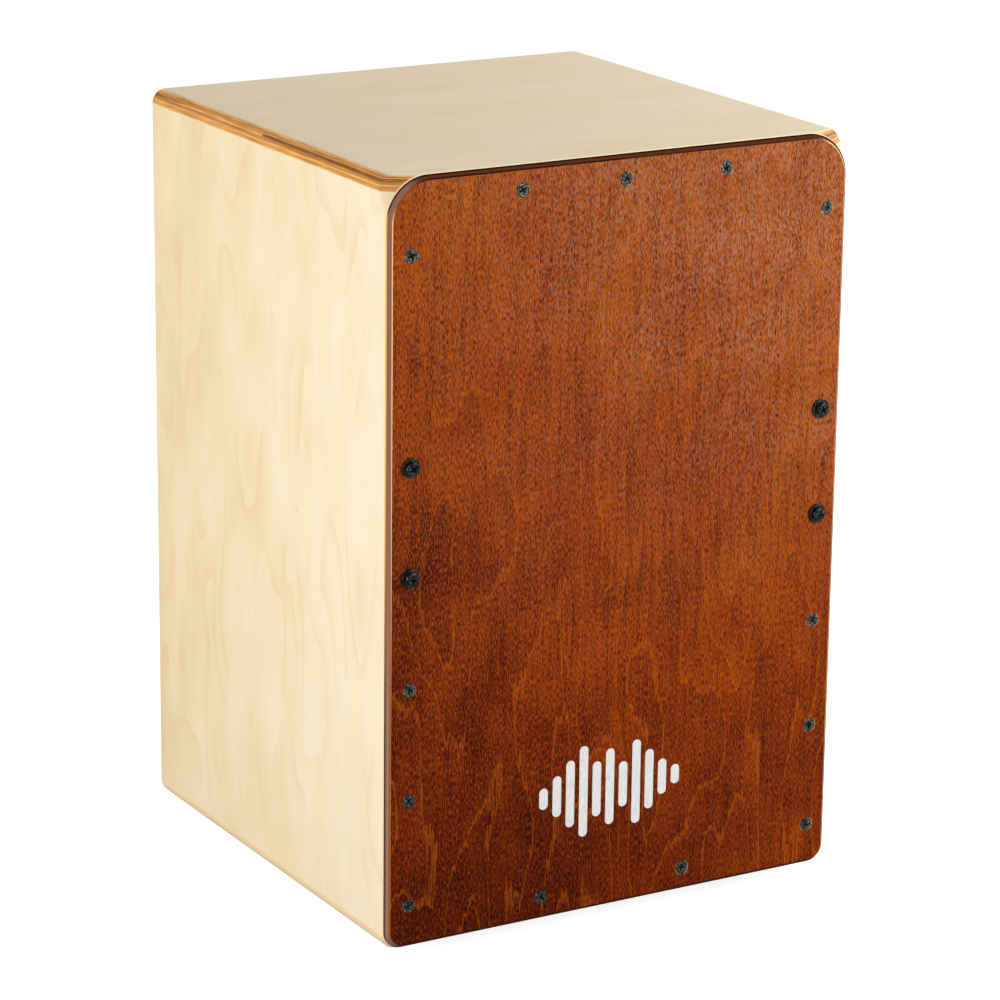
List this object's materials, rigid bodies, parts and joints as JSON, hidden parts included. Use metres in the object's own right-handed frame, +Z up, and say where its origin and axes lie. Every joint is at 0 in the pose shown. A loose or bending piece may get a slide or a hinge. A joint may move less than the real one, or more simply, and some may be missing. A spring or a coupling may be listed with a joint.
{
  "type": "cajon",
  "caption": "Box drum to sit on and play by hand: a plywood cabinet with a screwed-on stained playing plate, a round sound hole at the back, inner snare wires and rubber feet.",
  "frame": {"origin": "on the floor under the middle of the whole drum, bolt heads included", "axes": "+Z up, the playing plate faces -Y, +X to the right of someone who looks at the plate"},
  "size_m": [0.303, 0.305, 0.46],
  "materials": {
    "stained_plate": "satin lacquer over brown stain",
    "natural_birch": "satin lacquer",
    "batten_wood": "bare",
    "black_steel": "blackened",
    "zinc_steel": "zinc plated",
    "spring_steel": "bright",
    "foot_rubber": "matt",
    "foam": "matt foam"
  },
  "bodies": {
    "root": {"back_panel": "natural_birch", "bottom_panel": "natural_birch", "corner_strip_bottom_left": "batten_wood", "corner_strip_bottom_right": "batten_wood", "corner_strip_seat_left": "batten_wood", "corner_strip_seat_right": "batten_wood", "damper_strip": "foam", "foot_front_left": "foot_rubber", "foot_front_right": "foot_rubber", "foot_rear_left": "foot_rubber", "foot_rear_right": "foot_rubber", "foot_screws": "zinc_steel", "foot_washers": "zinc_steel", "front_plate": "stained_plate", "front_rail_bottom": "batten_wood", "front_rail_top": "batten_wood", "front_stile_left": "batten_wood", "front_stile_right": "batten_wood", "left_side": "natural_birch", "plate_screws": "black_steel", "rear_rail_bottom": "batten_wood", "rear_rail_top": "batten_wood", "rear_stile_left": "batten_wood", "rear_stile_right": "batten_wood", "right_side": "natural_birch", "seat_panel": "natural_birch", "snare_bolt_nuts": "zinc_steel", "snare_bolt_washers": "black_steel", "snare_bolts": "black_steel", "snare_crossbar": "batten_wood", "snare_end_plate_left": "zinc_steel", "snare_end_plate_right": "zinc_steel", "snare_screws": "zinc_steel", "snare_strap_left": "zinc_steel", "snare_strap_right": "zinc_steel", "snare_wires_left": "spring_steel", "snare_wires_right": "spring_steel", "strap_screws": "zinc_steel"}
  },
  "joints": []
}
